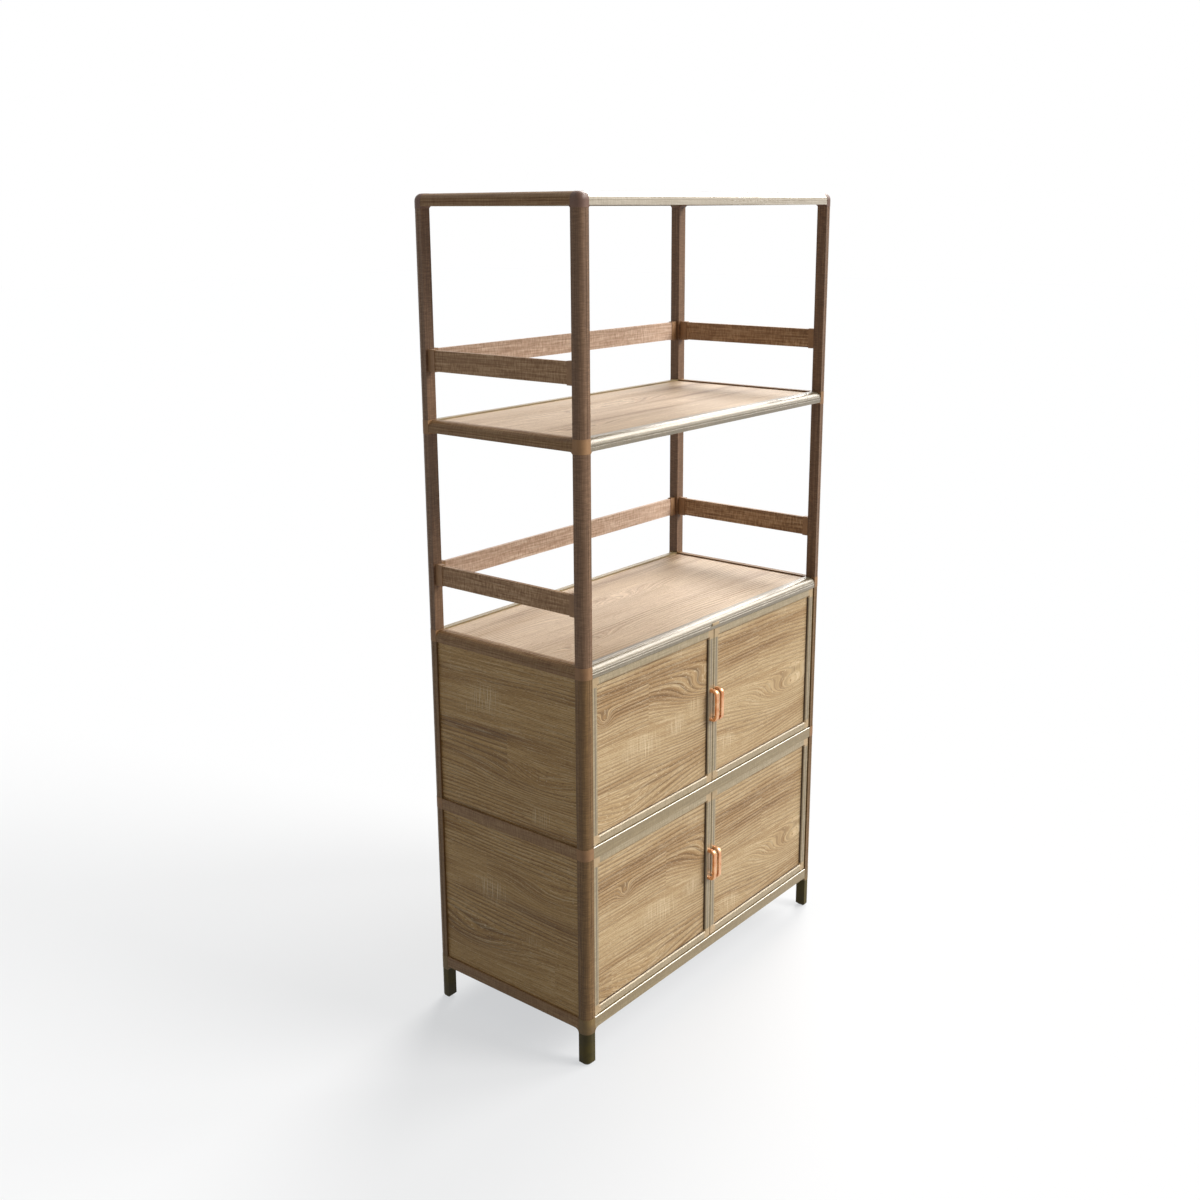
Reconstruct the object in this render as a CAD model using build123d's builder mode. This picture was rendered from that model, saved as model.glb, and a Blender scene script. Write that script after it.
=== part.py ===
from build123d import *
from math import sqrt
import os

os.makedirs("parts", exist_ok=True)

# Tall knock-down storage cabinet: extruded posts and rails plugged onto moulded corner joints, two open
# bays with galleries above, two tiers of paired doors below. Millimetres, Z up, front towards -Y, origin
# on the floor under the middle of the whole object, pulls included.

# Overall size, measured over the corner joints
width = 900.0
depth = 440.0
height = 1790.0

# Heights of the frame's levels
base_height = 83.0  # floor to the underside of the base frame
closed_tier = 363.0  # clear height of each tier behind doors

# Extrusions and joints
section = 25.0  # square section of the corner joints
joint_proud = 0.4  # step from a joint's outer face back to the extrusions
nose_radius = 15.0  # quarter-round outer corner of the joints
extrusion_wall = 1.3
groove_near = 11.5  # grooves of the nosed rails, from the outer corner along each outer face
groove_far = 16.5
groove_post = 16.0  # the posts' one groove on each outer face
groove_side = 1.2  # side of the square that cuts each groove, point first
flat_edge = 1.2  # small bevel of the flat rails' top front edge

# Moulded corner joints
base_skirt = 9.0  # how far a joint reaches below the base rails
light_skirt = 4.0  # the same below the top and shelf rails
spigot_centre = 13.0  # from the two outer faces
spigot_side = 8.8
spigot_length = 14.0

# Feet
foot_bevel = 6.0
foot_socket_side = 9.0
foot_socket_depth = 14.5

# Boards and the slots that hold them
board = 5.0
board_fit = 0.1  # clearance on each face of a board in its slot
board_play = 0.2  # clearance of a board's body between the inner faces
slot_depth = 6.0
tongue = 5.5  # how far a board's edge enters its slot
board_inset = 5.5  # outer face of a wall board behind the outer face of the frame
board_drop = 4.0  # top of a floor board under the top of its rails

# Gallery strips
gallery_rise = 101.0  # from the top of the rails to the underside of the strip
gallery_height = 43.0
gallery_thickness = 8.0
socket_wall = 1.5
socket_length = 18.0
socket_floor = 2.0

# Doors
door_recess = 3.0  # door face behind the frame's face
door_gap = 1.5  # to the posts and rails
centre_gap = 2.0  # between two doors
frame_width = 17.0
frame_depth = 17.0
frame_edge = 1.0  # bevel of the frame's outer edge
frame_bevel = 2.0  # bevel beside the panel
frame_wall = 1.3
panel_set = 6.2  # board face behind the door's face
block_arm = 4.0  # corner block's reach along the stile and rail
door_spigot_across = 5.8
door_spigot_back = 8.5
door_spigot_side = 5.4
door_spigot_length = 12.0

# Hinge pins
pivot_inset = 8.5  # from the door's outer edge
pivot_setback = 5.0  # from the door's face
pin_radius = 2.5
pin_clearance = 0.05
pin_seat = 6.0  # depth in the rail
pin_reach = 9.0  # length in the door
pin_bore_extra = 1.0
shoulder_side = 7.0  # square part that sits in the rail and carries the door
shoulder_play = 0.1

# Pulls and strike plates
pull_height = 76.0
pull_projection = 21.0
pull_bar_width = 9.0
pull_bar_depth = 7.0
pull_bend = 14.0  # outer radius of its corners
pull_bevel = 2.0  # along the outer edges
pull_rise = 5.0  # pull's middle above the door's middle
strike_side = 13.0
strike_thickness = 1.0
strike_inset = 2.0

# Magnetic catches
catch_width = 40.0
catch_height = 16.0
catch_gap = 0.3
catch_plate = 3.0
catch_plate_rise = 12.0

# Levels, each at the underside of its rails
top_level = height - section
middle_level = base_height + section + closed_tier
counter_level = middle_level + section + closed_tier
open_bay = (top_level - counter_level - 2 * section) / 2
shelf_level = counter_level + section + open_bay

# Plan
pull_overhang = pull_projection - door_recess
half_width = width / 2
front = (pull_overhang - depth) / 2
back = front + depth
middle_y = (front + back) / 2
inner_x = half_width - section
inner_front = front + section
inner_back = back - section
inner_width = 2 * inner_x
inner_depth = depth - 2 * section
door_face = front + door_recess
door_back = door_face + frame_depth
pivot_x = inner_x - door_gap - pivot_inset
pivot_y = door_face + pivot_setback

slot_width = board + 2 * board_fit
wall_slot = board_inset + board / 2
floor_slot = board_drop + board / 2

UP = (0, 0, 1)
DOWN = (0, 0, -1)
RIGHT = (1, 0, 0)
BACKWARD = (0, 1, 0)
FORWARD = (0, -1, 0)

FLOOR_SLOT = ("inner", floor_slot)
SLOT_BELOW = ("far", wall_slot)
SLOT_ABOVE = ("near", wall_slot)
SIDE_WALL_SLOT = ("far", wall_slot)
BACK_WALL_SLOT = ("inner", wall_slot)

# Levels: underside, nosed rails or flat ones, depth of skirt, post above, rail slots for the wall boards
LEVELS = {
    "base": (base_height, False, base_skirt, True, (SLOT_ABOVE,)),
    "middle": (middle_level, False, 0.0, True, (SLOT_ABOVE, SLOT_BELOW)),
    "counter": (counter_level, True, 0.0, True, (SLOT_BELOW,)),
    "shelf": (shelf_level, True, light_skirt, True, ()),
    "top": (top_level, True, light_skirt, False, ()),
}

# Post lengths between the joints: low end, high end, walled or open
POST_BAYS = (
    (base_height + section, middle_level, True),
    (middle_level + section, counter_level, True),
    (counter_level + section, shelf_level - light_skirt, False),
    (shelf_level + section, top_level - light_skirt, False),
)

# Corners of the plan: side along X, side along Y
CORNERS = {
    "front_left": (-1, -1),
    "front_right": (1, -1),
    "back_left": (-1, 1),
    "back_right": (1, 1),
}

# Tiers behind doors: floor and ceiling of the door opening
TIERS = {
    "lower": (base_height + section, middle_level),
    "upper": (middle_level + section, counter_level),
}


def keep(builder, name):
    """Labels a finished piece and writes it."""
    builder.part.label = name
    export_step(builder.part, f"parts/{name}.step")


def section_plane(corner, across, inward):
    """Plane at an outer corner, x running across the section and y running inward."""
    return Plane(origin=corner, x_dir=across, z_dir=Vector(*across).cross(Vector(*inward)))


def corner_y(side):
    return front if side < 0 else back


# Sections, each drawn from its outer corner: x across, y inward


def joint_section(nosed, proud):
    """Solid outline: a quarter-round outer corner, or only a bevelled one with a flush top."""
    top = proud if nosed else 0
    with BuildSketch() as outline:
        with BuildLine():
            if nosed:
                corner = CenterArc((nose_radius, nose_radius), nose_radius - proud, 180, 90)
            else:
                corner = Line((proud, flat_edge), (proud + flat_edge, 0))
            Polyline(corner @ 1, (section, top), (section, section), (proud, section), corner @ 0)
        make_face()
    return outline.sketch


def face_of_nose(along):
    """Depth of the extrusion's outer face at a distance from the corner."""
    if along >= nose_radius:
        return joint_proud
    return nose_radius - sqrt((nose_radius - joint_proud) ** 2 - (nose_radius - along) ** 2)


def groove_section(distances):
    """The squares, point first, that cut fine grooves in both outer faces."""
    spots = [(along, face_of_nose(along)) for along in distances]
    with BuildSketch() as cutters:
        with Locations(*spots, *[(y, x) for x, y in spots]):
            Rectangle(groove_side, groove_side, rotation=45)
    return cutters.sketch


def slot_section(slots, size):
    """The board slots of a section, each opening on its inner, far or near face."""
    with BuildSketch() as cutters:
        for face, offset_in in slots:
            if face == "inner":
                with Locations((size - slot_depth / 2, offset_in)):
                    Rectangle(slot_depth, slot_width)
            else:
                end = slot_depth / 2 if face == "near" else size - slot_depth / 2
                with Locations((offset_in, end)):
                    Rectangle(slot_width, slot_depth)
    return cutters.sketch


def cabinet_section(nosed, slots, grooves):
    """Hollow frame extrusion with its board slots and grooves."""
    outline = joint_section(nosed, joint_proud)
    cutters = [slot_section(slots, section)] if slots else []
    lines = [groove_section(grooves)] if grooves else []
    with BuildSketch() as profile:
        add(outline)
        for cutter in cutters:
            add(cutter, mode=Mode.SUBTRACT)
        offset(amount=-extrusion_wall, kind=Kind.INTERSECTION, mode=Mode.SUBTRACT)
        for line in lines:
            add(line, mode=Mode.SUBTRACT)
    return profile.sketch


def door_section():
    """Hollow door extrusion: x from the door's edge inward, y back from its face."""
    cutters = slot_section([("inner", panel_set + board / 2)], frame_width)
    with BuildSketch() as profile:
        with BuildLine():
            Polyline(
                (frame_edge, 0),
                (frame_width - frame_bevel, 0),
                (frame_width, frame_bevel),
                (frame_width, frame_depth),
                (0, frame_depth),
                (0, frame_edge),
                close=True,
            )
        make_face()
        add(cutters, mode=Mode.SUBTRACT)
        offset(amount=-frame_wall, kind=Kind.INTERSECTION, mode=Mode.SUBTRACT)
    return profile.sketch


def square(centre, side):
    """A square peg or socket in a section's own coordinates."""
    with BuildSketch() as peg:
        with Locations(centre):
            Rectangle(side, side)
    return peg.sketch


def bar(shape, corner, across, inward, run, length, mode=Mode.ADD):
    """Extrudes a section standing at an outer corner along its run."""
    with BuildSketch(section_plane(corner, across, inward)) as profile:
        add(shape)
    extrude(profile.sketch, amount=length, dir=run, mode=mode)


FRAME_PEG = square((spigot_centre, spigot_centre), spigot_side)
DOOR_PEG = square((door_spigot_across, door_spigot_back), door_spigot_side)


# Posts and feet


def make_post(name, side_x, side_y):
    slots = [SIDE_WALL_SLOT, BACK_WALL_SLOT] if side_y > 0 else [SIDE_WALL_SLOT]
    walled_section = cabinet_section(True, slots, [groove_post])
    open_section = cabinet_section(True, [], [groove_post])
    across, inward = (-side_x, 0, 0), (0, -side_y, 0)
    with BuildPart() as post:
        for low, high, walled in POST_BAYS:
            corner = (side_x * half_width, corner_y(side_y), low)
            bar(walled_section if walled else open_section, corner, across, inward, UP, high - low)
    keep(post, f"post_{name}")


def make_feet():
    foot_height = base_height - base_skirt
    outline = joint_section(True, joint_proud)
    socket = square((spigot_centre, spigot_centre), foot_socket_side)
    with BuildPart() as feet:
        for side_x, side_y in CORNERS.values():
            corner = (side_x * half_width, corner_y(side_y), 0)
            top = (side_x * half_width, corner_y(side_y), foot_height)
            across, inward = (-side_x, 0, 0), (0, -side_y, 0)
            bar(outline, corner, across, inward, UP, foot_height)
            chamfer(edges(Select.LAST).group_by(Axis.Z)[0], foot_bevel)
            bar(socket, top, across, inward, DOWN, foot_socket_depth, Mode.SUBTRACT)
    keep(feet, "feet")


# Corner joints of one level


def web(corner, across, run, reach, concave):
    """Web beside a skirt: across leaves the post, and the web's flat top lies under the rail."""
    with BuildSketch(section_plane(corner, across, DOWN)) as outline:
        with BuildLine():
            if concave:
                edge = CenterArc((reach, reach), reach, 180, 90)
            else:
                edge = Line((0, reach), (reach, 0))
            Polyline(edge @ 1, (0, 0), edge @ 0)
        make_face()
    extrude(outline.sketch, amount=section, dir=run)


def make_joints(name):
    level, _, skirt, post_above, _ = LEVELS[name]
    rail_top = level + section
    body = joint_section(True, 0)
    with BuildPart() as joints:
        for side_x, side_y in CORNERS.values():
            x, y = side_x * half_width, corner_y(side_y)
            x_in, y_in = side_x * inner_x, y - side_y * section
            across, inward = (-side_x, 0, 0), (0, -side_y, 0)
            if post_above:
                bar(body, (x, y, level - skirt), across, inward, UP, section + skirt)
                bar(FRAME_PEG, (x, y, rail_top), across, inward, UP, spigot_length)
            else:
                block = square((section / 2, section / 2), section)
                bar(block, (x, y, level - skirt), across, inward, UP, section + skirt)
                fillet(edges(Select.LAST).sort_by_distance((x, y, rail_top))[:3], nose_radius)
            bar(FRAME_PEG, (x, y, level - skirt), across, inward, DOWN, spigot_length)
            bar(FRAME_PEG, (x_in, y, rail_top), inward, DOWN, across, spigot_length)
            bar(FRAME_PEG, (x, y_in, rail_top), across, DOWN, inward, spigot_length)
            if skirt:
                web((x_in, y, level), across, inward, skirt, concave=name == "base")
                web((x, y_in, level), inward, across, skirt, concave=name == "base")
    keep(joints, f"{name}_corner_joints")


# Rails of one level


def make_rails(name):
    level, nosed, _, _, wall_slots = LEVELS[name]
    rail_top = level + section
    grooves = [groove_near, groove_far] if nosed else []
    plain = cabinet_section(nosed, [FLOOR_SLOT], grooves)
    walled = cabinet_section(nosed, [FLOOR_SLOT, *wall_slots], grooves)
    with BuildPart() as front_rail:
        bar(plain, (-inner_x, front, rail_top), BACKWARD, DOWN, RIGHT, inner_width)
        pin_faces = []
        if name in ("base", "middle"):
            pin_faces.append(rail_top - pin_seat)
        if name in ("middle", "counter"):
            pin_faces.append(level)
        for low in pin_faces:
            with Locations((-pivot_x, pivot_y, low), (pivot_x, pivot_y, low)):
                Box(
                    shoulder_side,
                    shoulder_side,
                    pin_seat,
                    align=(Align.CENTER, Align.CENTER, Align.MIN),
                    mode=Mode.SUBTRACT,
                )
    keep(front_rail, f"{name}_front_rail")
    with BuildPart() as back_rail:
        bar(walled, (-inner_x, back, rail_top), FORWARD, DOWN, RIGHT, inner_width)
    keep(back_rail, f"{name}_back_rail")
    with BuildPart() as side_rails:
        for side_x in (-1, 1):
            corner = (side_x * half_width, inner_front, rail_top)
            bar(walled, corner, (-side_x, 0, 0), DOWN, BACKWARD, inner_depth)
    keep(side_rails, f"{name}_side_rails")


# Boards


def make_floor_board(name, level):
    """Board lying in the slots of one level's rails, its corners cut out for the joints."""
    with BuildPart() as floor_board:
        with BuildSketch(Plane((0, middle_y, level + section - board_drop - board))):
            Rectangle(inner_width + 2 * tongue, inner_depth - 2 * board_play)
            Rectangle(inner_width - 2 * board_play, inner_depth + 2 * tongue)
        extrude(amount=board)
    keep(floor_board, name)


def wall_outline(opening, height_of_tier):
    """Wall board: into the slots of the posts and rails, its corners cut out for the joints."""
    with BuildSketch() as outline:
        Rectangle(opening + 2 * tongue, height_of_tier - 2 * board_play)
        Rectangle(opening - 2 * board_play, height_of_tier + 2 * tongue)
    return outline.sketch


def make_walls():
    side_outline = wall_outline(inner_depth, closed_tier)
    back_outline = wall_outline(inner_width, closed_tier)
    for name, side_x in (("left", -1), ("right", 1)):
        with BuildPart() as side_boards:
            for low, high in TIERS.values():
                origin = (side_x * (half_width - board_inset), middle_y, (low + high) / 2)
                with BuildSketch(Plane(origin, x_dir=BACKWARD, z_dir=RIGHT)) as profile:
                    add(side_outline)
                extrude(profile.sketch, amount=board, dir=(-side_x, 0, 0))
        keep(side_boards, f"{name}_side_boards")
    with BuildPart() as back_boards:
        for low, high in TIERS.values():
            origin = (0, back - board_inset, (low + high) / 2)
            with BuildSketch(Plane(origin, x_dir=RIGHT, z_dir=FORWARD)) as profile:
                add(back_outline)
            extrude(profile.sketch, amount=board, dir=FORWARD)
    keep(back_boards, "back_boards")


# Galleries of the open bays


def make_gallery(name, level):
    """Strips on the back and sides, standing on edge in the middle of the posts' thickness."""
    middle_z = level + section + gallery_rise + gallery_height / 2
    end = socket_floor + board_play
    with BuildPart() as back_strip:
        with Locations((0, back - section / 2, middle_z)):
            Box(inner_width - 2 * end, gallery_thickness, gallery_height)
    keep(back_strip, f"{name}_gallery_back")
    with BuildPart() as side_strips:
        strip_x = half_width - section / 2
        with Locations((-strip_x, middle_y, middle_z), (strip_x, middle_y, middle_z)):
            Box(gallery_thickness, inner_depth - 2 * end, gallery_height)
    keep(side_strips, f"{name}_gallery_sides")


def gallery_socket(base, run, across):
    """One end socket: a cup whose floor lies on the post and whose mouth takes the strip."""
    outer_height = gallery_height + 2 * socket_wall
    outer_width = gallery_thickness + 2 * socket_wall
    seat = Plane(origin=base, x_dir=across, z_dir=run)
    with BuildSketch(seat) as outside:
        Rectangle(outer_width, outer_height)
    extrude(outside.sketch, amount=socket_length, dir=run)
    with BuildSketch(seat.offset(socket_floor)) as mouth:
        Rectangle(gallery_thickness + 2 * board_fit, gallery_height + 2 * board_fit)
    extrude(mouth.sketch, amount=socket_length, dir=run, mode=Mode.SUBTRACT)


def make_gallery_sockets():
    side_x = half_width - section / 2
    back_y = back - section / 2
    with BuildPart() as sockets:
        for level in (counter_level, shelf_level):
            z = level + section + gallery_rise + gallery_height / 2
            for side in (-1, 1):
                gallery_socket((side * inner_x, back_y, z), (-side, 0, 0), BACKWARD)
                gallery_socket((side * side_x, inner_front, z), BACKWARD, RIGHT)
                gallery_socket((side * side_x, inner_back, z), FORWARD, RIGHT)
    keep(sockets, "gallery_sockets")


# Hinge pins and catches


def make_hinge_pins():
    """Pins with a square shoulder that sits in the rail and carries the door, which turns on the pin."""
    shoulder_length = pin_seat + door_gap - shoulder_play
    pin_length = pin_reach + shoulder_play
    low_align = (Align.CENTER, Align.CENTER, Align.MIN)
    with BuildPart() as pins:
        for low, high in TIERS.values():
            for x in (-pivot_x, pivot_x):
                for face, way in ((low, 1), (high, -1)):
                    seat = Plane(origin=(x, pivot_y, face - way * pin_seat), z_dir=(0, 0, way))
                    with Locations(seat):
                        Box(shoulder_side, shoulder_side, shoulder_length, align=low_align)
                    with Locations(seat.offset(shoulder_length)):
                        Cylinder(pin_radius, pin_length, align=low_align)
    keep(pins, "hinge_pins")


def make_catches():
    """Magnetic catches hung behind the rail above each pair of doors."""
    magnet_front = door_back + strike_thickness + catch_gap
    magnet_depth = inner_front + catch_plate - magnet_front
    low_align = (Align.CENTER, Align.MIN, Align.MIN)
    with BuildPart() as catches:
        for _, ceiling in TIERS.values():
            with Locations((0, magnet_front, ceiling - catch_height)):
                Box(catch_width, magnet_depth, catch_height, align=low_align)
            with Locations((0, inner_front, ceiling - catch_height)):
                Box(catch_width, catch_plate, catch_height + catch_plate_rise, align=low_align)
    keep(catches, "door_catches")


# Doors


def make_door(tier, side):
    name = f"{tier}_{'left' if side < 0 else 'right'}_door"
    floor, ceiling = TIERS[tier]
    low, high = floor + door_gap, ceiling - door_gap
    outer_x = side * (inner_x - door_gap)
    free_x = side * centre_gap / 2
    inward = (-side, 0, 0)
    outward = (side, 0, 0)
    door_width = abs(outer_x - free_x)
    door_height = high - low
    block = frame_width + block_arm
    member = door_section()

    with BuildPart() as frame:
        stile_length = door_height - 2 * block
        rail_length = door_width - 2 * block
        bar(member, (outer_x, door_face, low + block), inward, BACKWARD, UP, stile_length)
        bar(member, (free_x, door_face, low + block), outward, BACKWARD, UP, stile_length)
        rail_x = outer_x - side * block
        bar(member, (rail_x, door_face, low), UP, BACKWARD, inward, rail_length)
        bar(member, (rail_x, door_face, high), DOWN, BACKWARD, inward, rail_length)
    keep(frame, f"{name}_frame")

    with BuildPart() as corners:
        for x, x_way, hinged in ((outer_x, -side, True), (free_x, side, False)):
            for z, z_way in ((low, 1), (high, -1)):
                corner_block(x, x_way, z, z_way, hinged)
    keep(corners, f"{name}_corners")

    with BuildPart() as panel:
        opening_width = door_width - 2 * frame_width
        opening_height = door_height - 2 * frame_width
        centre = ((outer_x + free_x) / 2, door_face + panel_set, (low + high) / 2)
        relief = 2 * block_arm + 2 * board_play
        with BuildSketch(Plane(centre, x_dir=RIGHT, z_dir=FORWARD)):
            Rectangle(opening_width - 2 * board_play, opening_height - 2 * board_play)
            Rectangle(opening_width + 2 * tongue, opening_height - relief)
            Rectangle(opening_width - relief, opening_height + 2 * tongue)
        extrude(amount=-board)
    keep(panel, f"{name}_panel")

    make_pull(f"{name}_pull", free_x + side * frame_width / 2, (low + high) / 2 + pull_rise)

    with BuildPart() as strike:
        strike_x = free_x + side * (strike_inset + strike_side / 2)
        strike_z = high - strike_inset - strike_side / 2
        with Locations((strike_x, door_back + strike_thickness / 2, strike_z)):
            Box(strike_side, strike_thickness, strike_side)
    keep(strike, f"{name}_strike")


def make_pull(name, x, middle_z):
    """D-shaped bar: its side outline given its width, then bevelled along the outer edges."""
    reach = pull_projection - pull_bar_depth
    seat = Plane(origin=(x, door_face, middle_z), x_dir=FORWARD, z_dir=RIGHT)
    with BuildPart() as pull:
        with BuildSketch(seat) as outline:
            with Locations((pull_projection / 2, 0)):
                Rectangle(pull_projection, pull_height)
            fillet(outline.vertices().sort_by(Axis.X)[-2:], pull_bend)
        extrude(amount=pull_bar_width / 2, both=True)
        rim = edges().filter_by(Axis.X, reverse=True).group_by(Axis.Y)[:-1]
        chamfer([edge for ring in rim for edge in ring], pull_bevel)
        with BuildSketch(seat) as gap:
            with Locations((reach / 2, 0)):
                Rectangle(reach, pull_height - 2 * pull_bar_depth)
            fillet(gap.vertices().sort_by(Axis.X)[-2:], pull_bend - pull_bar_depth)
        extrude(amount=pull_bar_width / 2, both=True, mode=Mode.SUBTRACT)
    keep(pull, name)


def corner_block(x, x_way, z, z_way, hinged):
    """L-shaped moulded block with a peg into each member and, on the hinge side, a pin bore."""
    reach = frame_width + block_arm
    across, up = (x_way, 0, 0), (0, 0, z_way)
    face = section_plane((x, door_face, z), across, up)
    with BuildSketch(face) as outline:
        Rectangle(frame_width, reach, align=(Align.MIN, Align.MIN))
        Rectangle(reach, frame_width, align=(Align.MIN, Align.MIN))
    extrude(outline.sketch, amount=frame_depth, dir=BACKWARD)
    outer_corner = (x, door_face, z)
    inner_corner = (x + x_way * frame_width, door_face, z + z_way * frame_width)
    chamfer(edges().group_by(Axis.Y)[0].sort_by_distance(outer_corner)[:2], frame_edge)
    chamfer(edges().group_by(Axis.Y)[0].sort_by_distance(inner_corner)[:2], frame_bevel)
    bar(DOOR_PEG, (x, door_face, z + z_way * reach), across, BACKWARD, up, door_spigot_length)
    bar(DOOR_PEG, (x + x_way * reach, door_face, z), up, BACKWARD, across, door_spigot_length)
    if hinged:
        mouth = Plane(origin=(x + x_way * pivot_inset, pivot_y, z), z_dir=up)
        with BuildSketch(mouth) as bore:
            Circle(pin_radius + pin_clearance)
        extrude(bore.sketch, amount=pin_reach + pin_bore_extra, dir=up, mode=Mode.SUBTRACT)


for corner_name, (corner_side_x, corner_side_y) in CORNERS.items():
    make_post(corner_name, corner_side_x, corner_side_y)
make_feet()
for level_name in LEVELS:
    make_joints(level_name)
    make_rails(level_name)
for board_name, board_level in (
    ("bottom_board", base_height),
    ("middle_board", middle_level),
    ("counter_board", counter_level),
    ("shelf_board", shelf_level),
    ("top_board", top_level),
):
    make_floor_board(board_name, board_level)
make_walls()
make_gallery("counter", counter_level)
make_gallery("shelf", shelf_level)
make_gallery_sockets()
make_hinge_pins()
make_catches()
for tier_name in TIERS:
    for door_side in (-1, 1):
        make_door(tier_name, door_side)
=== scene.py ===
import bmesh
import bpy
import math
from mathutils import Matrix, Vector


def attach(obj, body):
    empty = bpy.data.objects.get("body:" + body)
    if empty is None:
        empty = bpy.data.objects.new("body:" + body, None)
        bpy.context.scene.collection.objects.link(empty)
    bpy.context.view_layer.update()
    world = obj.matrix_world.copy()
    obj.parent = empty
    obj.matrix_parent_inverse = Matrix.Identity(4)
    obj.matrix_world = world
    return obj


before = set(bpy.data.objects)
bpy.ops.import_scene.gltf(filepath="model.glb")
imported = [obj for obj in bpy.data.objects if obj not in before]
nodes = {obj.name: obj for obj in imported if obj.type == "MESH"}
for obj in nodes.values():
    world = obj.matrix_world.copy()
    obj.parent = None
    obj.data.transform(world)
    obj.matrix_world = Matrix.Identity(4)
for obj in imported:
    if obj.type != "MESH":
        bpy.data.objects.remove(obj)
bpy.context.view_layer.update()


# Places on the cabinet, in metres, as its CAD pieces have them

door_middles = {"upper": 0.6775, "lower": 0.2895}  # heights
inner_stile, outer_stile = 0.0095, 0.415  # a door's uprights, from the cabinet's middle plane
opening_middle = 0.21225  # the opening in a door's frame, from the same plane
opening_half_width, opening_half_height = 0.195, 0.1637  # with the bevel round it
# Where the faces round the doors' boards lie in depth; painted shade goes on them
recess_shade_middle, recess_shade_half_depth = -0.2038, 0.0022
door_inner_face = -0.191
pull_rise = 0.005  # a pull's middle above its door's middle
pull_screw_reach = 0.0345  # from a pull's middle to its screws
rail_face = -0.2106  # front of the front rails
rail_edge = 0.0012  # bevel on the flat ones
flat_rail_tops = (0.108, 0.496)
counter_bead = 0.870  # height of the bead on the counter's front rail
lower_lengths_end = 0.870  # inside the counter's joints
catch_back_face = -0.183
catch_screw_across = 0.013
catch_screw_heights = (0.477, 0.865)


# Colours


def srgb(code):
    """A hex colour as the linear values that a shader socket holds."""
    values = [int(code[i:i + 2], 16) / 255 for i in (1, 3, 5)]
    linear = [v / 12.92 if v <= 0.04045 else ((v + 0.055) / 1.055) ** 2.4 for v in values]
    return (*linear, 1.0)


# Shader building


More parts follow.
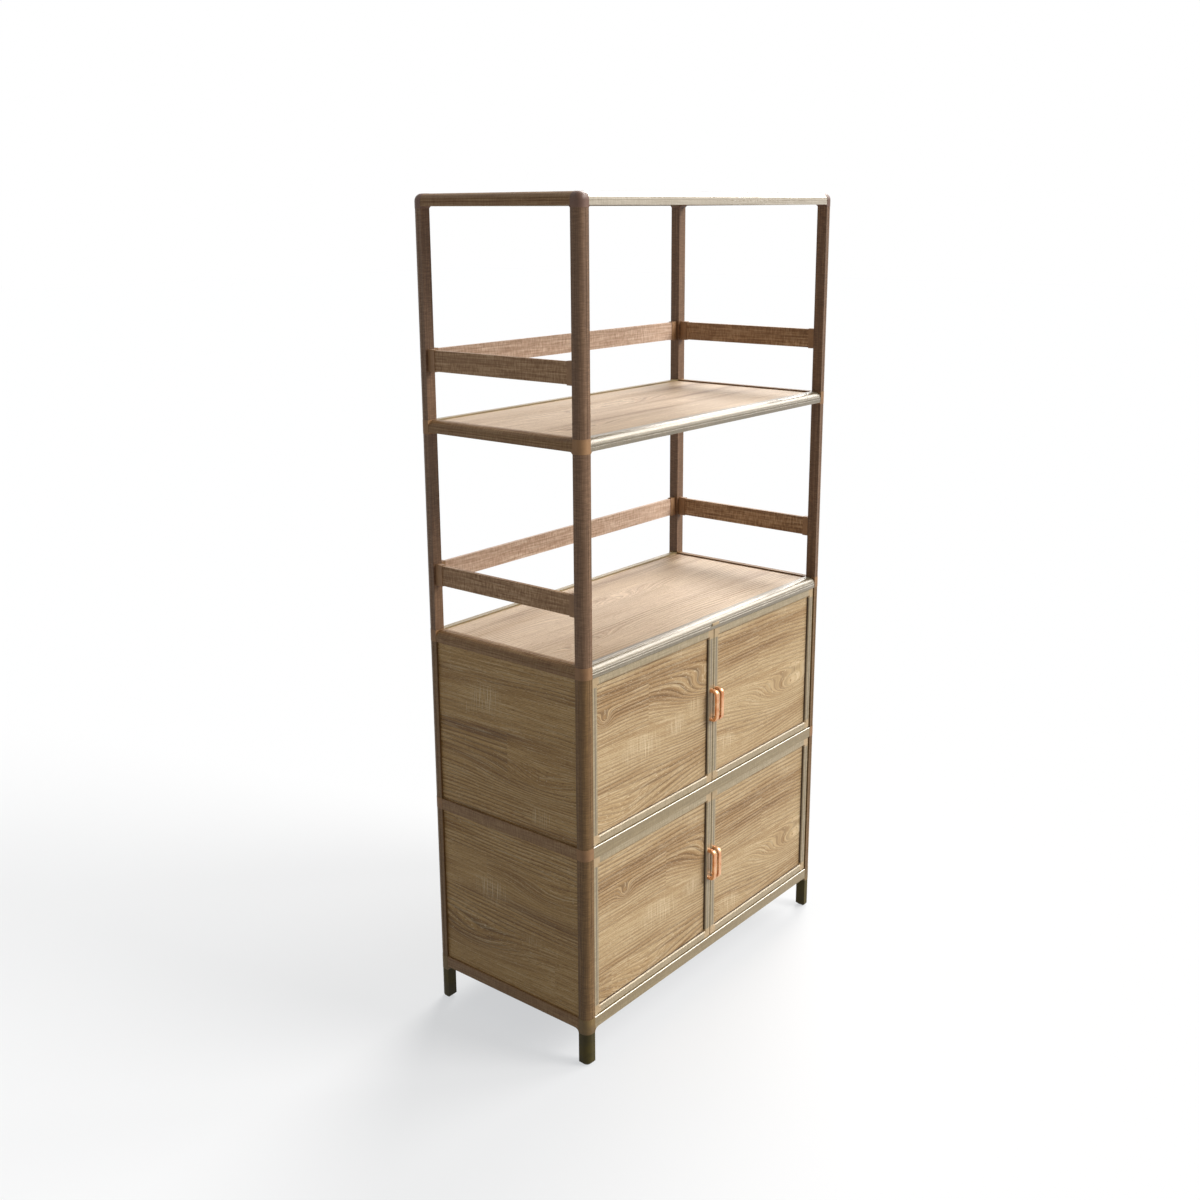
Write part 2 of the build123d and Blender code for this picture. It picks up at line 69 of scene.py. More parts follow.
class Shader:
    """A material under construction. Most calls add a node and return its output socket."""

    def __init__(self, name):
        self.material = bpy.data.materials.new(name)
        self.material.use_nodes = True
        self.tree = self.material.node_tree
        self.surface = self.tree.nodes["Principled BSDF"]
        self.place = self.node("ShaderNodeTexCoord").outputs["Object"]

    def node(self, kind):
        return self.tree.nodes.new(kind)

    def join(self, socket, value):
        if isinstance(value, bpy.types.NodeSocket):
            self.tree.links.new(value, socket)
        else:
            socket.default_value = value

    def stretched(self, scale, offset=(0, 0, 0), source=None):
        """The object position, or another vector, scaled along each axis and then moved."""
        node = self.node("ShaderNodeMapping")
        self.join(node.inputs["Vector"], source or self.place)
        node.inputs["Location"].default_value = offset
        node.inputs["Scale"].default_value = scale
        return node.outputs["Vector"]

    def noise(self, vector, detail=2.0, roughness=0.5):
        node = self.node("ShaderNodeTexNoise")
        self.join(node.inputs["Vector"], vector)
        node.inputs["Scale"].default_value = 1.0
        node.inputs["Detail"].default_value = detail
        node.inputs["Roughness"].default_value = roughness
        return node.outputs["Fac"]

    def math(self, operation, a, b=0.0):
        node = self.node("ShaderNodeMath")
        node.operation = operation
        self.join(node.inputs[0], a)
        self.join(node.inputs[1], b)
        return node.outputs["Value"]

    def add(self, a, b):
        return self.math("ADD", a, b)

    def times(self, a, b):
        return self.math("MULTIPLY", a, b)

    def spread(self, value, low, high, to_low=0.0, to_high=1.0):
        """Maps low..high onto to_low..to_high, held at both ends."""
        node = self.node("ShaderNodeMapRange")
        node.clamp = True
        self.join(node.inputs["Value"], value)
        node.inputs["From Min"].default_value = low
        node.inputs["From Max"].default_value = high
        node.inputs["To Min"].default_value = to_low
        node.inputs["To Max"].default_value = to_high
        return node.outputs["Result"]

    def ramp(self, value, stops):
        node = self.node("ShaderNodeValToRGB")
        self.join(node.inputs["Fac"], value)
        elements = node.color_ramp.elements
        while len(elements) < len(stops):
            elements.new(0.5)
        for element, (position, colour) in zip(elements, stops):
            element.position = position
            element.color = srgb(colour)
        return node.outputs["Color"]

    def mix(self, amount, a, b, blend="MIX"):
        node = self.node("ShaderNodeMix")
        node.data_type = "RGBA"
        node.blend_type = blend
        node.clamp_factor = True
        self.join(node.inputs["Factor"], amount)
        # The colour sockets share their names with others, so they go by place
        self.join(node.inputs[6], a)
        self.join(node.inputs[7], b)
        return node.outputs[2]

    def axes(self):
        node = self.node("ShaderNodeSeparateXYZ")
        self.join(node.inputs[0], self.place)
        return dict(zip("XYZ", node.outputs))

    def point(self, x, y, z=0.0):
        node = self.node("ShaderNodeCombineXYZ")
        for socket, value in zip(node.inputs, (x, y, z)):
            self.join(socket, value)
        return node.outputs["Vector"]

    def hill(self, flat, centre, reach):
        """1 at a centre on the flat face, falling to 0 past its reach along and across."""
        scale = (1 / reach[0], 1 / reach[1], 0.0)
        offset = (-centre[0] / reach[0], -centre[1] / reach[1], 0.0)
        away = self.stretched(scale, offset, flat)
        node = self.node("ShaderNodeVectorMath")
        node.operation = "DOT_PRODUCT"
        self.join(node.inputs[0], away)
        self.join(node.inputs[1], away)
        return self.math("POWER", math.e, self.times(node.outputs["Value"], -1.0))

    def worn_edges(self, radius):
        """1 along sharp edges and 0 on flat faces, broken into patches."""
        rounded = self.node("ShaderNodeBevel")
        rounded.samples = 4
        rounded.inputs["Radius"].default_value = radius
        face = self.node("ShaderNodeNewGeometry")
        agree = self.node("ShaderNodeVectorMath")
        agree.operation = "DOT_PRODUCT"
        self.join(agree.inputs[0], rounded.outputs["Normal"])
        self.join(agree.inputs[1], face.outputs["Normal"])
        edge = self.spread(agree.outputs["Value"], 0.98, 0.8)
        patches = self.noise(self.stretched((70.0, 70.0, 70.0), (6, 2, 4)), 3.0, 0.6)
        return self.times(edge, self.spread(patches, 0.35, 0.6))

    def within(self, value, middle, reach):
        """1 where a value is no further than reach from its middle, with a slight blur."""
        blur = 0.0002
        away = self.math("ABSOLUTE", self.add(value, -middle))
        return self.spread(away, reach + blur, reach - blur)

    def beside_boards(self):
        """1 at the heights of the doors' boards, 0 at those of the frames' top and bottom members."""
        height = self.axes()["Z"]
        tiers = [self.within(height, middle, opening_half_height) for middle in door_middles.values()]
        return self.math("MAXIMUM", *tiers)

    def door_recess_painted_shade(self):
        """1 on the faces of the door frames that look into the opening, between bevel and board, where
        shade is painted.
        """
        axes = self.axes()
        across = self.within(self.math("ABSOLUTE", axes["X"]), opening_middle, opening_half_width)
        deep = self.within(axes["Y"], recess_shade_middle, recess_shade_half_depth)
        return self.times(self.times(across, deep), self.beside_boards())

    def rail_bevel_painted_highlight(self):
        """1 on the small bevel along the top front edge of the base and middle rails, where a highlight is
        painted.
        """
        axes = self.axes()
        half = rail_edge / 2
        edges = [self.within(axes["Z"], top - half, half + 0.0001) for top in flat_rail_tops]
        back_line = rail_face + rail_edge
        deep = self.spread(axes["Y"], back_line, back_line - 0.0004)
        return self.times(self.math("MAXIMUM", *edges), deep)

    def linen(self, along, fine=1.0):
        """Fine threads along one axis, crossed by finer ones."""
        run = [14.0 if axis == along else 620.0 * fine for axis in "XYZ"]
        cross = [520.0 * fine if axis == along else 70.0 for axis in "XYZ"]
        threads = self.noise(self.stretched(run), 2.0, 0.6)
        weft = self.noise(self.stretched(cross, (3, 5, 7)), 2.0, 0.6)
        return self.add(self.times(threads, 0.55), self.times(weft, 0.45))

    def bump(self, height, distance, strength=1.0):
        node = self.node("ShaderNodeBump")
        node.inputs["Strength"].default_value = strength
        node.inputs["Distance"].default_value = distance
        self.join(node.inputs["Height"], height)
        self.tree.links.new(node.outputs["Normal"], self.surface.inputs["Normal"])

    def finish(self, colour, roughness, metallic=0.0, specular=0.5, coat=0.0, coat_roughness=0.2):
        self.join(self.surface.inputs["Base Color"], colour)
        self.join(self.surface.inputs["Roughness"], roughness)
        self.surface.inputs["Metallic"].default_value = metallic
        self.surface.inputs["Specular IOR Level"].default_value = specular
        self.surface.inputs["Coat Weight"].default_value = coat
        self.surface.inputs["Coat Roughness"].default_value = coat_roughness
        return self.material


# Finishes


def sawn(s, wood, u, flat, saw_marks):
    """Adds short saw marks across the grain, at the given places and at a few that the noise picks."""
    teeth_turn = 1300.0  # radians of their wave in a metre, so one tooth in 4.8 mm
    patch = s.spread(s.noise(s.stretched((5.0, 11.0, 1.0), (2, 9, 0), flat), 1.0), 0.66, 0.74, 0.0, 0.6)
    for centre, reach in saw_marks:
        patch = s.math("MAXIMUM", patch, s.spread(s.hill(flat, centre, reach), 0.2, 0.85))
    uneven = s.times(s.noise(s.stretched((30.0, 1.0, 1.0), source=flat), 1.0), 4.0)
    teeth = s.math("SINE", s.add(s.times(u, teeth_turn), uneven))
    ragged = s.noise(s.stretched((260.0, 18.0, 1.0), (4, 4, 0), flat), 1.0)
    patch = s.times(patch, s.spread(ragged, 0.36, 0.6, 0.1, 1.0))
    wood = s.mix(s.times(patch, s.spread(teeth, 0.1, 0.9)), wood, srgb("#e8d7b6"))
    return s.mix(s.times(patch, s.spread(teeth, -0.3, -0.95, 0.0, 0.4)), wood, srgb("#94734a"))


def oak_laminate(name, along, across, corner=(0.0, 0.0), knots=(), saw_marks=(), strong=1.0,
                 rough=0.54, pale="#d2b88f", mid="#b8986c", dark="#8e6c45"):
    """Printed light oak in staves: growth lines that bend round knots and climb into long arches, dark
    pores, pale flecks and patches of short saw marks. along and across name the axes of the grain and of
    the width; corner is where the print starts. knots hold centre, reach and lift; saw_marks centre and
    reach; strong is how clearly the lines and fibres show."""
    s = Shader(name)
    axes = s.axes()
    depth = next(axes[a] for a in "XYZ" if a not in (along, across))
    u = s.add(axes[along], -corner[0])
    v = s.add(axes[across], -corner[1])
    flat = s.point(u, v)

    # Staves, each from another part of the tree, with butt joints
    stave_width, stave_length, stagger = 0.1, 0.717, 0.262
    row = s.math("FLOOR", s.times(v, 1 / stave_width))
    column = s.math("FLOOR", s.times(s.add(u, s.times(row, stagger)), 1 / stave_length))
    board = s.times(depth, 3.0)
    tree = s.add(s.add(s.times(row, 3.7), s.times(column, 1.9)), board)

    lift = s.times(s.noise(s.stretched((3.0, 12.0, 1.0), (3, 1, 0), s.point(u, v, tree)), 2.0), 0.015)
    for centre, reach, height in knots:
        lift = s.add(lift, s.times(s.hill(flat, centre, reach), height))
    bent = s.point(u, s.add(v, lift), tree)

    # Growth lines: dark on one side, fading to the other
    lines_per_metre = 112.0
    slow = s.noise(s.stretched((1.1, 2.6, 1.0), (0, 0.4, 0), bent), 1.0, 0.4)
    lines = s.add(s.times(s.add(v, lift), lines_per_metre), s.times(slow, 12.0))
    line_tone = s.ramp(s.math("FRACT", lines), [
        (0.0, "#978b80"), (0.1, "#a89d92"), (0.4, "#dfdad3"),
        (0.7, "#f6f4f1"), (0.92, "#dcd7d0"), (1.0, "#a3998e"),
    ])
    fine_tone = s.ramp(s.math("FRACT", s.times(lines, 3.0)), [
        (0.0, "#b5aca3"), (0.3, "#e9e6e1"), (0.8, "#f6f4f1"), (1.0, "#c1b9b0"),
    ])
    here = s.noise(s.stretched((1.4, 8.0, 1.0), (9, 4, 0), bent), 2.0)

    # Broad bands of pale and brown wood
    bands = s.noise(s.stretched((1.0, 15.0, 1.0), (5, 2, 0), s.point(u, s.add(v, lift), board)), 3.0, 0.6)
    wood = s.ramp(bands, [(0.3, dark), (0.39, mid), (0.5, pale), (0.64, pale), (0.76, mid)])
    broad_here = s.spread(here, 0.4, 0.58, 0.15, 0.95 * strong)
    wood = s.mix(broad_here, wood, s.mix(1.0, wood, line_tone, "MULTIPLY"))
    fine_here = s.spread(here, 0.64, 0.42, 0.15, 0.8 * strong)
    wood = s.mix(fine_here, wood, s.mix(1.0, wood, fine_tone, "MULTIPLY"))

    # Fibres, pores and pale flecks
    fibres = s.noise(s.stretched((9.0, 480.0, 1.0), source=bent), 3.0, 0.65)
    wood = s.mix(s.spread(fibres, 0.5, 0.68, 0.0, 0.55 * strong), wood, srgb(dark))
    wood = s.mix(s.spread(fibres, 0.48, 0.34, 0.0, 0.4 * strong), wood, srgb("#e8d6b4"))
    pores = s.noise(s.stretched((90.0, 1000.0, 1.0), (1, 7, 0), bent), 1.0)
    wood = s.mix(s.spread(pores, 0.58, 0.7, 0.0, 0.7), wood, srgb(dark))
    flecks = s.noise(s.stretched((160.0, 900.0, 1.0), (8, 3, 0), bent), 1.0)
    wood = s.mix(s.spread(flecks, 0.62, 0.74, 0.0, 0.5), wood, srgb("#ecdcbd"))

    wood = sawn(s, wood, u, flat, saw_marks)
    s.bump(s.add(s.times(pores, -0.6), s.times(fibres, -0.5)), 0.0003, 0.5)
    return s.finish(wood, s.spread(bands, 0.3, 0.7, rough - 0.04, rough + 0.05), specular=0.35)


def wood_film(name, along, dark, base, light, rough=0.45, metallic=0.0, specular=0.35, coat=0.0, fine=1.0,
              contrast=1.0, relief=0.4, grooves=(), bevel=None, door=False, lower=None):
    """Satin wood-print film on an extrusion: fine threads along it, crossed by finer ones like linen, and
    rubbed pale along the edges. fine is how close the threads lie and contrast how much they show.
    grooves are distances from the middle plane where a painted dark line, the shade of a groove, runs;
    bevel is the colour of a painted highlight on the flat rails' top edge; door turns the threads on a
    door's level members and paints shade on the faces round its board; lower tints the posts' lengths
    below the counter, which are cut from another bar."""
    s = Shader(name)
    streak = [3.0 if axis == along else 150.0 for axis in "XYZ"]
    streaks = s.noise(s.stretched(streak, (1, 8, 2)), 2.0, 0.5)
    clouds = s.noise(s.stretched((6.0, 6.0, 6.0)), 3.0)
    tone = s.linen(along, fine)
    if door:
        upright = s.beside_boards()
        level = s.times(s.linen("X", fine), s.add(1.0, s.times(upright, -1.0)))
        tone = s.add(s.times(tone, upright), level)
        streaks = s.times(streaks, upright)
    half = 0.14 / contrast
    colour = s.ramp(tone, [(0.5 - half, dark), (0.5, base), (0.5 + half, light)])
    colour = s.mix(s.spread(streaks, 0.5, 0.66, 0.0, 0.5), colour, srgb(dark))
    colour = s.mix(s.spread(clouds, 0.38, 0.68, 0.0, 0.35), colour, srgb(base))
    colour = s.mix(s.times(s.worn_edges(0.0009), 0.6), colour, srgb(light))
    # Painted highlight: a near-white line on the flat rails' bevel
    if bevel:
        colour = s.mix(s.rail_bevel_painted_highlight(), colour, srgb(bevel))
    height = tone
    # Painted groove shade: a dark line down each stile where a groove would hold shade, with a dip in the
    # bump
    for distance in grooves:
        off = s.math("ABSOLUTE", s.add(s.math("ABSOLUTE", s.axes()["X"]), -distance))
        line = s.spread(off, 0.0020, 0.0010)
        colour = s.mix(s.times(line, 0.75), colour, srgb("#5d5244"))
        height = s.add(height, s.times(line, -3.0))
    if door:
        # Painted shade: dark brown on the frame faces round each board, where the recess is shaded
        colour = s.mix(s.times(s.door_recess_painted_shade(), 0.85), colour, srgb("#3d2c2a"))
    if lower:
        below = s.spread(s.axes()["Z"], lower_lengths_end + 0.005, lower_lengths_end - 0.005)
        colour = s.mix(below, colour, s.mix(1.0, colour, lower, "MULTIPLY"))
    s.bump(height, 0.0002, relief)
    roughness = s.spread(tone, 0.35, 0.65, rough + 0.06, rough - 0.05)
    return s.finish(colour, roughness, metallic, specular, coat, coat_roughness=0.3)


def moulded(name, dark, base, light, rough=0.48, specular=0.4):
    """Moulded plastic: a fine even texture, cloudy tone, and edges rubbed pale."""
    s = Shader(name)
    clouds = s.noise(s.stretched((26.0, 26.0, 26.0)), 4.0, 0.6)
    speckle = s.noise(s.stretched((700.0, 700.0, 700.0)), 2.0)
    colour = s.ramp(clouds, [(0.3, dark), (0.6, base)])
    colour = s.mix(s.spread(speckle, 0.55, 0.75, 0.0, 0.25), colour, srgb(dark))
    colour = s.mix(s.times(s.worn_edges(0.0008), 0.6), colour, srgb(light))
    s.bump(speckle, 0.00015, 0.3)
    return s.finish(colour, s.spread(clouds, 0.3, 0.7, rough - 0.06, rough + 0.08), specular=specular)


def plated(name, shade, base, bright, rough=0.2):
    """Plated metal with faint draw lines, dulled patches and edges rubbed bright."""
    s = Shader(name)
    clouds = s.noise(s.stretched((60.0, 60.0, 60.0)), 3.0)
    lines = s.noise(s.stretched((1500.0, 1500.0, 40.0)), 2.0)
    colour = s.ramp(clouds, [(0.3, shade), (0.6, base)])
    colour = s.mix(s.worn_edges(0.0006), colour, srgb(bright))
    s.bump(lines, 0.00005, 0.3)
    return s.finish(colour, s.spread(clouds, 0.3, 0.7, rough - 0.05, rough + 0.12), metallic=1.0)


# Prints of the boards. Left and right doors each carry one, cut a little differently for the two tiers
left_knots = (
    ((0.046, 0.258), (0.020, 0.015), 0.024),
    ((0.430, 0.235), (0.150, 0.040), 0.056),
    ((0.090, 0.020), (0.190, 0.045), 0.042),
    ((0.360, 0.150), (0.170, 0.040), 0.022),
)
left_saw_marks = (
    ((0.170, 0.160), (0.070, 0.032)),
    ((0.292, 0.170), (0.036, 0.024)),
    ((0.360, 0.196), (0.026, 0.020)),
)
right_knots = (
    ((0.350, 0.125), (0.200, 0.045), 0.062),
    ((0.120, 0.050), (0.180, 0.040), 0.022),
)
right_saw_marks = (((0.060, 0.075), (0.040, 0.025)),)
door_oak = {
    "upper_left": oak_laminate("oak_upper_left", "X", "Z", (-0.4235, 0.4975), left_knots, left_saw_marks),
    "lower_left": oak_laminate("oak_lower_left", "X", "Z", (-0.3585, 0.0895), left_knots, left_saw_marks),
    "upper_right": oak_laminate(
        "oak_upper_right", "X", "Z", (0.0, 0.4975), right_knots, right_saw_marks, strong=0.8),
    "lower_right": oak_laminate("oak_lower_right", "X", "Z", (0.03, 0.0795), right_knots, right_saw_marks),
}
side_knots = (
    ((0.12, 0.20), (0.16, 0.04), 0.034),
    ((0.06, -0.06), (0.14, 0.04), 0.030),
    ((0.31, -0.21), (0.14, 0.04), 0.034),
)
side_saw_marks = (
    ((0.25, 0.36), (0.045, 0.03)),
    ((0.10, 0.13), (0.03, 0.02)),
    ((0.25, -0.08), (0.045, 0.03)),
)
# The left side's print is yellower and deeper than the right side's: painted warm shade on the side away
# from the lamps
left_oak_painted_shade = oak_laminate(
    "oak_left_side_painted_shade", "Y", "Z", (-0.186, 0.4), side_knots, side_saw_marks,
    pale="#d2b07a", mid="#af8a54", dark="#77532d")
right_oak = oak_laminate(
    "oak_right_side", "Y", "Z", (-0.23, 0.36), side_knots, side_saw_marks,
    pale="#c2a67d", mid="#a2865c", dark="#7a5c3a")
back_knots = (((0.2, 0.3), (0.2, 0.04), 0.07), ((-0.1, 0.6), (0.15, 0.04), 0.06))
back_oak = oak_laminate("oak_back", "X", "Z", (-0.2, 0.03), back_knots)
shelf_knots = (((0.25, 0.2), (0.2, 0.03), 0.05), ((0.0, 0.05), (0.12, 0.02), 0.03))
shelf_oak = oak_laminate(
    "oak_shelf", "X", "Y", (-0.3, -0.15), shelf_knots, strong=0.9, rough=0.5,
    pale="#dec8af", mid="#c8ae92", dark="#9a7b60")

# Films of the extrusions
post_film = wood_film("post_film", "Z", "#5e4633", "#765a43", "#917359", lower=(0.96, 0.93, 0.6, 1.0))
side_rail_film = wood_film("side_rail_film", "Y", "#6d4e2f", "#8c6b47", "#a98c66")
# A paler copy of the nose film for the top front rail: painted glare where that rail's nose catches the
# light
top_nose_painted_glare_film = wood_film(
    "top_nose_painted_glare_film", "X", "#9b8f7b", "#b0a592", "#c6bcab", rough=0.42, metallic=0.2, specular=0.4, coat=1.0,
    relief=0.15)
nose_film = wood_film(
    "nose_film", "X", "#655a45", "#766b55", "#928671", rough=0.4, metallic=0.3, specular=0.5, coat=1.0,
    relief=0.15)
# Its bevel colour is a painted highlight along the flat rails' top front edge
front_rail_film = wood_film(
    "front_rail_film", "X", "#7c6b4b", "#8b7955", "#a18f6c", metallic=0.1, coat=0.7, relief=0.15,
    bevel="#f2ece0")
door_film = wood_film(
    "door_film", "Z", "#8a7b5c", "#9f8e6e", "#b8a788", rough=0.42, metallic=0.15, specular=0.4, coat=0.6,
    relief=0.2, grooves=(inner_stile, outer_stile), door=True)
back_gallery_film = wood_film(
    "back_gallery_film", "X", "#a88a73", "#caad97", "#e5d1bf", rough=0.5, fine=0.5, contrast=1.1)
side_gallery_film = wood_film(
    "side_gallery_film", "Y", "#7a593a", "#a58260", "#c9a987", rough=0.5, fine=0.5, contrast=1.3)

# Plastics and metals
joint_plastic = moulded("joint_plastic", "#825f3f", "#9b7651", "#b08c66")
top_joint_plastic = moulded("top_joint_plastic", "#60463a", "#775a4c", "#937465")
base_joint_plastic = moulded("base_joint_plastic", "#665030", "#7f683f", "#9a8258")
door_block_plastic = moulded("door_block_plastic", "#a89270", "#bda583", "#d0bb9a")
foot_plastic = moulded("foot_plastic", "#3c3414", "#52481d", "#71643a", specular=0.2)
socket_plastic = moulded("socket_plastic", "#8c6a4a", "#a88463", "#c5a381")
catch_plastic = moulded("catch_plastic", "#bdbab2", "#d8d6d0", "#e8e6e2")
pull_copper = plated("pull_copper", "#d9966a", "#f0bd94", "#fadcbd", 0.22)
steel = plated("steel", "#9c9b98", "#c9c9c7", "#dededc", 0.3)


# Finish of each piece by how its name ends. The first that fits is taken
finish_by_ending = {
    "top_front_rail": top_nose_painted_glare_film,
    "shelf_front_rail": nose_film,
    "counter_front_rail": nose_film,
    "front_rail": front_rail_film,
    "back_rail": front_rail_film,
    "side_rails": side_rail_film,
    "top_corner_joints": top_joint_plastic,
    "base_corner_joints": base_joint_plastic,
    "corner_joints": joint_plastic,
    "door_frame": door_film,
    "door_corners": door_block_plastic,
    "door_pull": pull_copper,
    "door_strike": steel,
    "hinge_pins": steel,
    "left_side_boards": left_oak_painted_shade,
    "right_side_boards": right_oak,
    "back_boards": back_oak,
    "_board": shelf_oak,
    "gallery_back": back_gallery_film,
    "gallery_sides": side_gallery_film,
    "gallery_sockets": socket_plastic,
    "feet": foot_plastic,
    "door_catches": catch_plastic,
}


def finish_for(name):
    """The finish of a carried-over piece, by its name."""
    if name.endswith("door_panel"):
        return door_oak[name.removesuffix("_door_panel")]
    if name.startswith("post_"):
        return post_film
    return next(finish for ending, finish in finish_by_ending.items() if name.endswith(ending))


for name, node in nodes.items():
    node.data.materials.clear()
    node.data.materials.append(finish_for(name))


# Small hardware


def only(piece):
    """Leaves one piece selected and active."""
    bpy.ops.object.select_all(action="DESELECT")
    piece.select_set(True)
    bpy.context.view_layer.objects.active = piece


def pick_faces(piece, wanted):
    """In edit mode, selects the faces whose normal passes the test."""
    bpy.ops.mesh.select_mode(type="FACE")
    bpy.ops.mesh.select_all(action="DESELECT")
    shape = bmesh.from_edit_mesh(piece.data)
    for face in shape.faces:
        face.select_set(wanted(face.normal))
    bmesh.update_edit_mesh(piece.data)


def settle(piece):
    """Puts a piece's place, turn and size into its mesh."""
    only(piece)
    bpy.ops.object.transform_apply(location=True, rotation=True, scale=True)


def apply_modifiers(piece):
    only(piece)
    for modifier in list(piece.modifiers):
        bpy.ops.object.modifier_apply(modifier=modifier.name)


def screw_driver_cross(place, reach, blade, depth):
    """Two crossed tapering blades that cut a driver recess."""
    taper = 0.45
    blades = []
    for size in ((reach, depth, blade), (blade, depth, reach)):
        bpy.ops.object.select_all(action="DESELECT")
        bpy.ops.mesh.primitive_cube_add(size=1, location=place)
        bar = bpy.context.object
        bar.scale = size
        settle(bar)
        bpy.ops.object.mode_set(mode="EDIT")
        pick_faces(bar, lambda normal: normal.y < -0.9)
        bpy.ops.transform.resize(value=(taper, 1.0, taper))
        bpy.ops.object.mode_set(mode="OBJECT")
        blades.append(bar)
    only(blades[0])
    union = blades[0].modifiers.new("union", "BOOLEAN")
    union.operation = "UNION"
    union.object = blades[1]
    apply_modifiers(blades[0])
    bpy.data.objects.remove(blades[1])
    return blades[0]


def model_screw():
    """The head of a pan-head screw that faces the back: a low dome with a cross recess, seated at y = 0."""
    height, radius = 0.0022, 0.0034
    bpy.ops.object.select_all(action="DESELECT")
    bpy.ops.mesh.primitive_cylinder_add(
        vertices=28, radius=radius, depth=height, location=(0, height / 2, 0), rotation=(math.pi / 2, 0, 0))
    head = bpy.context.object
    settle(head)
    bpy.ops.object.mode_set(mode="EDIT")
    pick_faces(head, lambda normal: normal.y > 0.9)
    bpy.ops.mesh.bevel(offset=0.0012, segments=4, profile=0.6, affect="EDGES")
    bpy.ops.object.mode_set(mode="OBJECT")
    recess_middle = (0, height - 0.0002, 0)
    cross = screw_driver_cross(recess_middle, reach=0.0036, blade=0.0008, depth=0.0024)
    recess = head.modifiers.new("recess", "BOOLEAN")
    recess.operation = "DIFFERENCE"
    recess.object = cross
    apply_modifiers(head)
    bpy.data.objects.remove(cross)
    only(head)
    bpy.ops.object.shade_smooth_by_angle(angle=math.radians(35))
    return head


def copies_of(piece, places, name):
    """Copies a piece to each place and joins the copies into one named piece."""
    copies = []
    for place in places:
        only(piece)
        bpy.ops.object.duplicate()
        copy = bpy.context.object
        bpy.ops.transform.translate(value=place)
        settle(copy)
        copies.append(copy)
    bpy.ops.object.select_all(action="DESELECT")
    for copy in copies:
        copy.select_set(True)
    bpy.context.view_layer.objects.active = copies[0]
    bpy.ops.object.join()
    copies[0].name = name
    copies[0].data.name = name
    return copies[0]


def model_rail_clip():
    """The small plate over the bead of the counter's front rail, above the meeting doors."""
    width, thickness, height = 0.026, 0.0016, 0.0064
    sunk = 0.0001  # into the rail's face
    rim, rise = 0.0011, 0.0004
    bpy.ops.object.select_all(action="DESELECT")
    bpy.ops.mesh.primitive_cube_add(size=1, location=(0, rail_face + sunk - thickness / 2, counter_bead))
    clip = bpy.context.object
    clip.name = "counter_rail_clip"
    clip.scale = (width, thickness, height)
    settle(clip)
    bpy.ops.object.mode_set(mode="EDIT")
    pick_faces(clip, lambda normal: normal.y < -0.9)
    bpy.ops.mesh.inset(thickness=rim)
    bpy.ops.transform.translate(value=(0, -rise, 0))
    bpy.ops.object.mode_set(mode="OBJECT")
    bevel = clip.modifiers.new("edges", "BEVEL")
    bevel.width = 0.0003
    bevel.segments = 2
    apply_modifiers(clip)
    return clip


screw = model_screw()
for tier, middle in door_middles.items():
    for side, x in (("left", -inner_stile), ("right", inner_stile)):
        body = f"{tier}_{side}_door"
        heights = [middle + pull_rise + reach for reach in (-pull_screw_reach, pull_screw_reach)]
        places = [(x, door_inner_face, height) for height in heights]
        screws = copies_of(screw, places, f"{tier}_{side}_pull_screws")
        screws.data.materials.append(steel)
        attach(screws, body)
catch_places = [
    (x, catch_back_face, height)
    for x in (-catch_screw_across, catch_screw_across)
    for height in catch_screw_heights
]
catch_screws = copies_of(screw, catch_places, "catch_screws")
catch_screws.data.materials.append(steel)
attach(catch_screws, "cabinet")
bpy.data.objects.remove(screw)
rail_clip = model_rail_clip()
rail_clip.data.materials.append(door_block_plastic)
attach(rail_clip, "cabinet")


# Studio

daylight = (1.0, 0.98, 0.96)
lamp_spread = math.radians(28)


def white_or_plain(tree, white, plain, mixed):
    """Joins two shaders: white to the eye, to gloss and through glass, plain to everything else."""
    rays = tree.nodes.new("ShaderNodeLightPath")
    seen = rays.outputs["Is Camera Ray"]
    for kind in ("Is Glossy Ray", "Is Transmission Ray"):
        either = tree.nodes.new("ShaderNodeMath")
        either.operation = "MAXIMUM"
        tree.links.new(seen, either.inputs[0])
        tree.links.new(rays.outputs[kind], either.inputs[1])
        seen = either.outputs[0]
    choice = tree.nodes.new("ShaderNodeMixShader")
    tree.links.new(seen, choice.inputs["Fac"])
    tree.links.new(plain, choice.inputs[1])
    tree.links.new(white, choice.inputs[2])
    tree.links.new(choice.outputs[0], mixed)


def white_surroundings():
    """White background with a gentle warm light from all round."""
    world = bpy.data.worlds.new("studio")
    bpy.context.scene.world = world
    world.use_nodes = True
    tree = world.node_tree
    tree.nodes.clear()
    plain = tree.nodes.new("ShaderNodeBackground")
    plain.inputs["Color"].default_value = (1.0, 0.95, 0.84, 1.0)
    plain.inputs["Strength"].default_value = 0.22
    white = tree.nodes.new("ShaderNodeBackground")
    white.inputs["Color"].default_value = (1.0, 1.0, 1.0, 1.0)
    white.inputs["Strength"].default_value = 1.0
    out = tree.nodes.new("ShaderNodeOutputWorld")
    white_or_plain(tree, white.outputs[0], plain.outputs[0], out.inputs["Surface"])


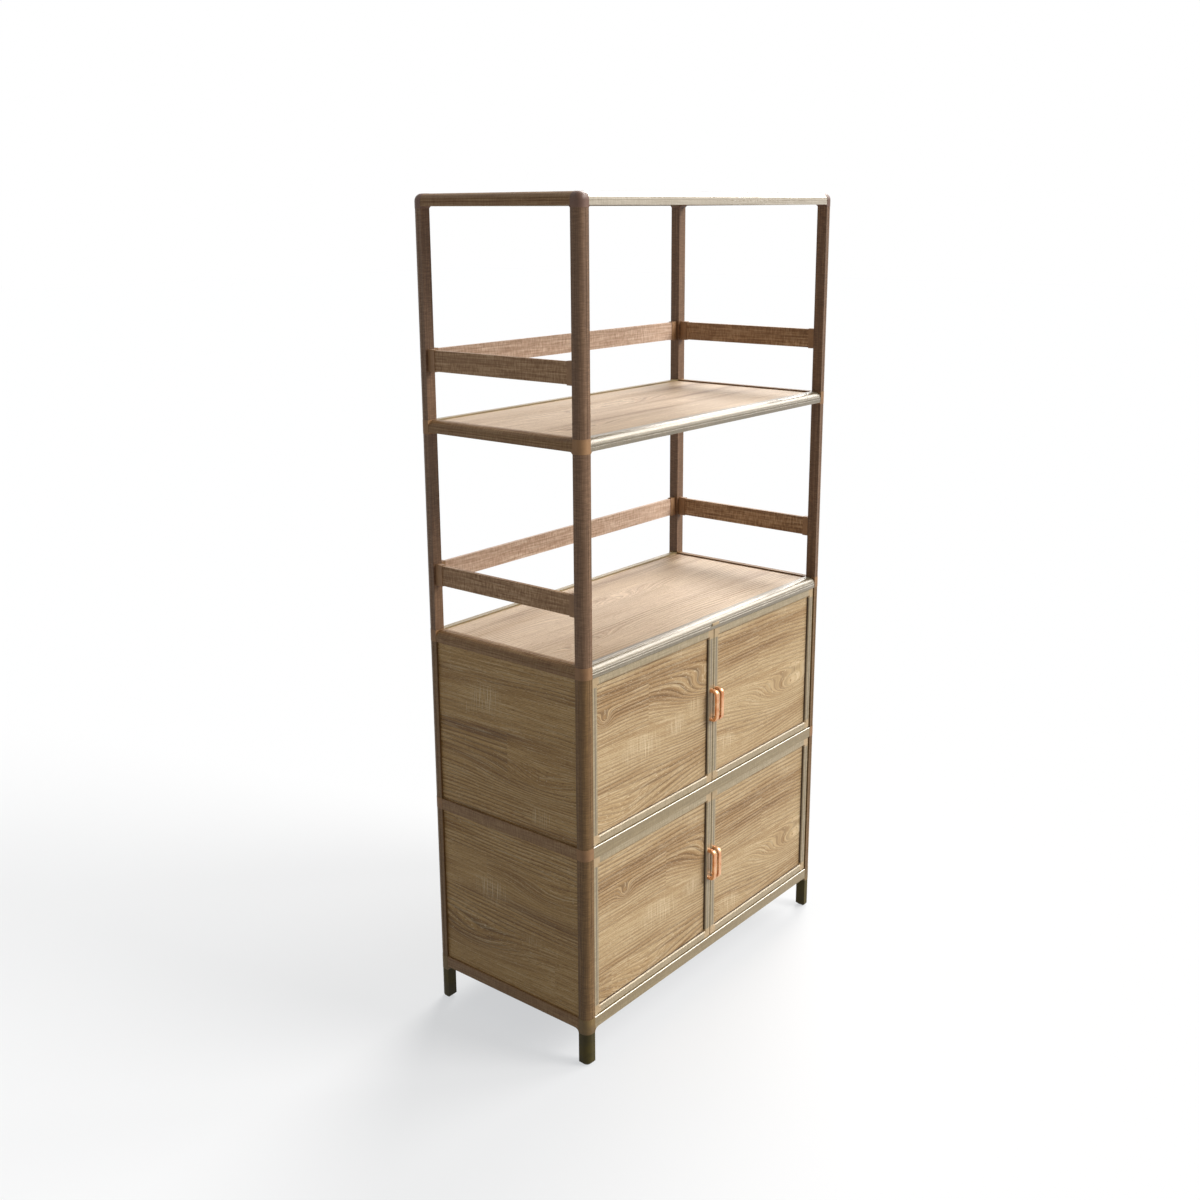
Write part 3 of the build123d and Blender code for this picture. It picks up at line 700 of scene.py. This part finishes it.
def pale_floor():
    """Pale floor that keeps the cabinet's soft shadow and throws little light back up."""
    bpy.ops.object.select_all(action="DESELECT")
    bpy.ops.mesh.primitive_plane_add(size=60)
    floor = bpy.context.object
    floor.name = "floor"
    material = bpy.data.materials.new("floor")
    material.use_nodes = True
    tree = material.node_tree
    paint = tree.nodes["Principled BSDF"]
    paint.inputs["Base Color"].default_value = (0.3, 0.3, 0.3, 1)
    paint.inputs["Roughness"].default_value = 0.9
    paint.inputs["Specular IOR Level"].default_value = 0.0
    glow = tree.nodes.new("ShaderNodeEmission")
    glow.inputs["Color"].default_value = (0.955, 0.975, 1.0, 1.0)
    glow.inputs["Strength"].default_value = 0.605
    lit = tree.nodes.new("ShaderNodeAddShader")
    tree.links.new(paint.outputs[0], lit.inputs[0])
    tree.links.new(glow.outputs[0], lit.inputs[1])
    white_or_plain(tree, lit.outputs[0], paint.outputs[0], tree.nodes["Material Output"].inputs["Surface"])
    floor.data.materials.append(material)


def distant_lamp(name, toward, factor):
    """A far, broad lamp. A face square to it shows its colour times the factor."""
    lamp = bpy.data.lights.new(name, "SUN")
    lamp.energy = math.pi * factor
    lamp.angle = lamp_spread
    lamp.color = daylight
    holder = bpy.data.objects.new(name, lamp)
    bpy.context.scene.collection.objects.link(holder)
    holder.rotation_euler = Vector(toward).to_track_quat("Z", "Y").to_euler()


def photograph_view():
    """Camera found from the straight edges of the photograph."""
    place = (-2.3761, -1.8305, 1.7553)
    yaw, pitch, roll = (math.radians(angle) for angle in (50.668, -13.877, -0.347))
    look = Vector((math.sin(yaw) * math.cos(pitch), math.cos(yaw) * math.cos(pitch), math.sin(pitch)))
    level = Vector((math.cos(yaw), -math.sin(yaw), 0))
    upright = level.cross(look)
    right = level * math.cos(roll) + upright * math.sin(roll)
    up = upright * math.cos(roll) - level * math.sin(roll)
    data = bpy.data.cameras.new("camera")
    data.sensor_width = 36.0
    data.lens = 40.767
    data.shift_y = -0.045
    camera = bpy.data.objects.new("camera", data)
    bpy.context.scene.collection.objects.link(camera)
    turn = Matrix((right, up, -look)).transposed().to_4x4()
    camera.matrix_world = Matrix.Translation(place) @ turn
    bpy.context.scene.camera = camera


white_surroundings()
pale_floor()
distant_lamp("window", (0.75, 0.25, 0.61), 0.78)
distant_lamp("side", (0.76, -0.34, 0.56), 0.46)
distant_lamp("front", (0.42, -0.74, 0.52), 0.86)
photograph_view()
bpy.context.scene.view_settings.view_transform = "Standard"
